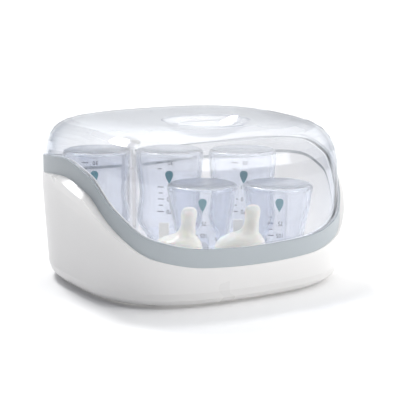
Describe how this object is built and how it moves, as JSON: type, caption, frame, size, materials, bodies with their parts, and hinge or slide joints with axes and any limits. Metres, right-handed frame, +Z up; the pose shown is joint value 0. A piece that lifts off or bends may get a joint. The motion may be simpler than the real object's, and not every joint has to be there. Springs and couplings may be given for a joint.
{
  "type": "microwave steam bottle sterilizer",
  "caption": "Oval steam sterilizer tub with swooping rim band and clear domed lid, holding upturned feeding bottles, silicone teats and tongs on a lift-out rack.",
  "frame": {"origin": "on the table under the middle of the body", "axes": "+Z up, -Y to the front where the rim dips lowest, +X to the user's right when facing the front"},
  "size_m": [0.2932, 0.255, 0.16],
  "materials": {
    "white_shell": "satin",
    "grey_band": "matte",
    "clear_lid": "gloss",
    "rack_white": "satin",
    "clear_bottle": "gloss",
    "silicone": "satin",
    "tongs_cream": "satin",
    "pad_grey": "matte"
  },
  "bodies": {
    "base": {"base_shell": "white_shell", "rim_band": "grey_band", "inner_rim": "white_shell", "foot_pads": "pad_grey"},
    "rack": {"rack_plate": "rack_white", "rack_rim": "rack_white", "rack_legs": "rack_white", "rack_handle_left": "rack_white", "rack_handle_right": "rack_white", "bottle_posts": "rack_white", "seat_ribs": "rack_white", "bottle_guides": "rack_white", "teat_stands": "rack_white"},
    "lid": {"lid_shell": "clear_lid", "lid_grip": "clear_lid"},
    "tongs_left": {"tongs_left_arm": "tongs_cream", "tongs_bar": "tongs_cream"},
    "tongs_right": {"tongs_right_arm": "tongs_cream"},
    "bottle_rear_left_body": {"bottle_rear_left": "clear_bottle"},
    "bottle_rear_middle_body": {"bottle_rear_middle": "clear_bottle"},
    "bottle_rear_right_body": {"bottle_rear_right": "clear_bottle"},
    "bottle_front_left_body": {"bottle_front_left": "clear_bottle"},
    "bottle_front_right_body": {"bottle_front_right": "clear_bottle"},
    "teat_left_body": {"teat_left": "silicone"},
    "teat_right_body": {"teat_right": "silicone"}
  },
  "joints": [
    {"name": "rack_lift", "type": "slide", "parent": "base", "child": "rack", "axis": [0, 0, 1], "range_m": [0, 0.15]},
    {"name": "lid_lift", "type": "slide", "parent": "rack", "child": "lid", "axis": [0, 0, 1], "range_m": [0, 0.15]},
    {"name": "tongs_open", "type": "hinge", "parent": "rack", "child": "tongs_left", "pos_m": [-0.0184, 0.0955, 0.126], "axis": [0, 1, 0], "range_deg": [-0.6, 6]},
    {"name": "tongs_open_right", "type": "hinge", "parent": "rack", "child": "tongs_right", "pos_m": [-0.0184, 0.0955, 0.126], "axis": [0, -1, 0], "range_deg": [-0.6, 6]},
    {"name": "bottle_rear_left_lift", "type": "slide", "parent": "rack", "child": "bottle_rear_left_body", "axis": [0, 0, 1], "range_m": [0, 0.022]},
    {"name": "bottle_rear_middle_lift", "type": "slide", "parent": "rack", "child": "bottle_rear_middle_body", "axis": [0, 0, 1], "range_m": [0, 0.022]},
    {"name": "bottle_rear_right_lift", "type": "slide", "parent": "rack", "child": "bottle_rear_right_body", "axis": [0, 0, 1], "range_m": [0, 0.022]},
    {"name": "bottle_front_left_lift", "type": "slide", "parent": "rack", "child": "bottle_front_left_body", "axis": [0, 0, 1], "range_m": [0, 0.022]},
    {"name": "bottle_front_right_lift", "type": "slide", "parent": "rack", "child": "bottle_front_right_body", "axis": [0, 0, 1], "range_m": [0, 0.022]},
    {"name": "teat_left_lift", "type": "slide", "parent": "rack", "child": "teat_left_body", "axis": [0, 0, 1], "range_m": [0, 0.01]},
    {"name": "teat_right_lift", "type": "slide", "parent": "rack", "child": "teat_right_body", "axis": [0, 0, 1], "range_m": [0, 0.01]}
  ],
  "couplings": [
    {"joint": "tongs_open_right", "follows": "tongs_open", "ratio": 1}
  ]
}
